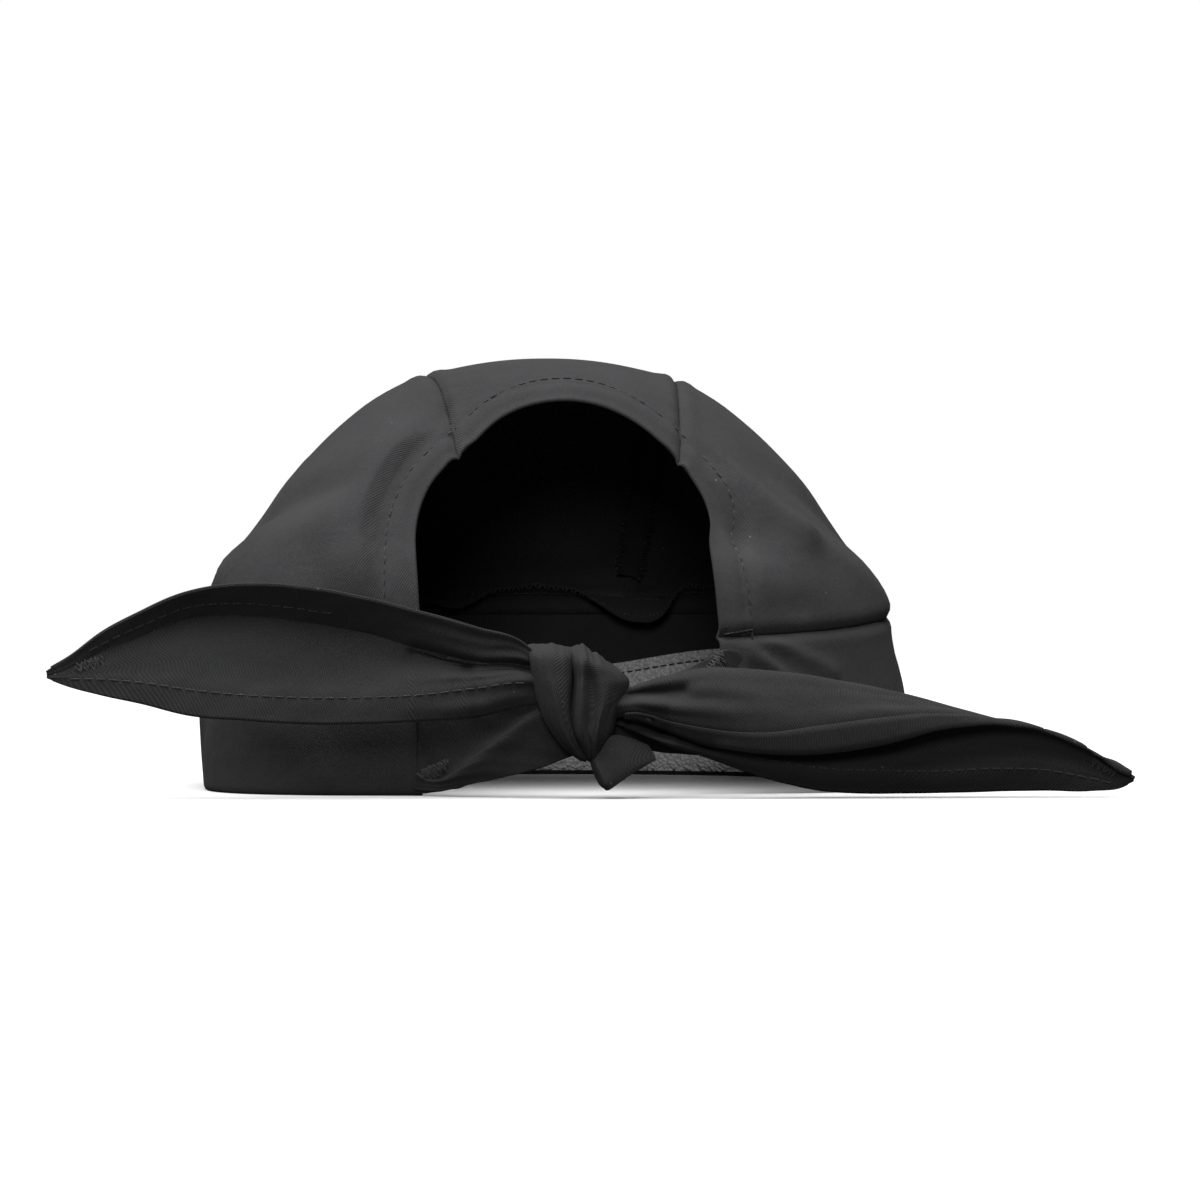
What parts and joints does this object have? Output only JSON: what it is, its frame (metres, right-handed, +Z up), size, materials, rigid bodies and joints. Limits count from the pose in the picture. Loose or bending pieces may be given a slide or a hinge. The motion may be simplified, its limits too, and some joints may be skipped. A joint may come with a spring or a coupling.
{
  "type": "tie-back skull cap",
  "caption": "Low three-panel cloth cap on a deep band, open at the back, closed by two ties in a knot with free tails.",
  "frame": {"origin": "middle of the head opening, on the plane of the band's lower rim", "axes": "+Z up through the crown, +Y towards the forehead, -Y towards the back opening and the knot, +X towards the right tail seen from behind"},
  "size_m": [0.261, 0.2055, 0.1124],
  "materials": {
    "crown_twill": "black cotton-rich twill, matt with a faint sheen",
    "band_twill": "black twill band cloth",
    "tie_twill": "black twill ties, creased",
    "lining_twill": "black twill, wrong side and raw edges",
    "stiffener": "non-woven stiffener",
    "towelling": "light grey looped towelling",
    "black_thread": "black sewing thread"
  },
  "bodies": {
    "cap": {"crown_centre_panel": "crown_twill", "crown_left_panel": "crown_twill", "crown_right_panel": "crown_twill", "opening_hem": "lining_twill", "band_seam_allowance": "lining_twill", "crown_left_seam_allowance": "lining_twill", "crown_right_seam_allowance": "lining_twill", "opening_topstitch": "black_thread", "opening_left_bartack": "black_thread", "opening_right_bartack": "black_thread", "band_outer": "band_twill", "band_interfacing": "stiffener", "band_lining": "lining_twill", "sweatband": "towelling", "sweatband_stitching": "black_thread", "knot_core": "tie_twill", "knot_left_wrap": "tie_twill", "knot_right_wrap": "tie_twill", "knot_lower_corner": "tie_twill", "left_strap": "tie_twill", "left_strap_bartack": "black_thread", "right_strap": "tie_twill", "right_strap_bartack": "black_thread"},
    "left_tail": {"left_tail": "tie_twill", "left_tail_hem": "tie_twill", "left_tail_stitching": "black_thread", "left_tail_bartack": "black_thread"},
    "right_tail": {"right_tail": "tie_twill", "right_tail_hem": "tie_twill", "right_tail_stitching": "black_thread", "right_tail_bartack": "black_thread"}
  },
  "joints": [
    {"name": "left_tail_lift", "type": "hinge", "parent": "cap", "child": "left_tail", "pos_m": [-0.0165, -0.102, 0.0265], "axis": [0, 1, 0], "range_deg": [-13, 60]},
    {"name": "right_tail_lift", "type": "hinge", "parent": "cap", "child": "right_tail", "pos_m": [0.0185, -0.102, 0.024], "axis": [0, -1, 0], "range_deg": [0, 60]}
  ]
}
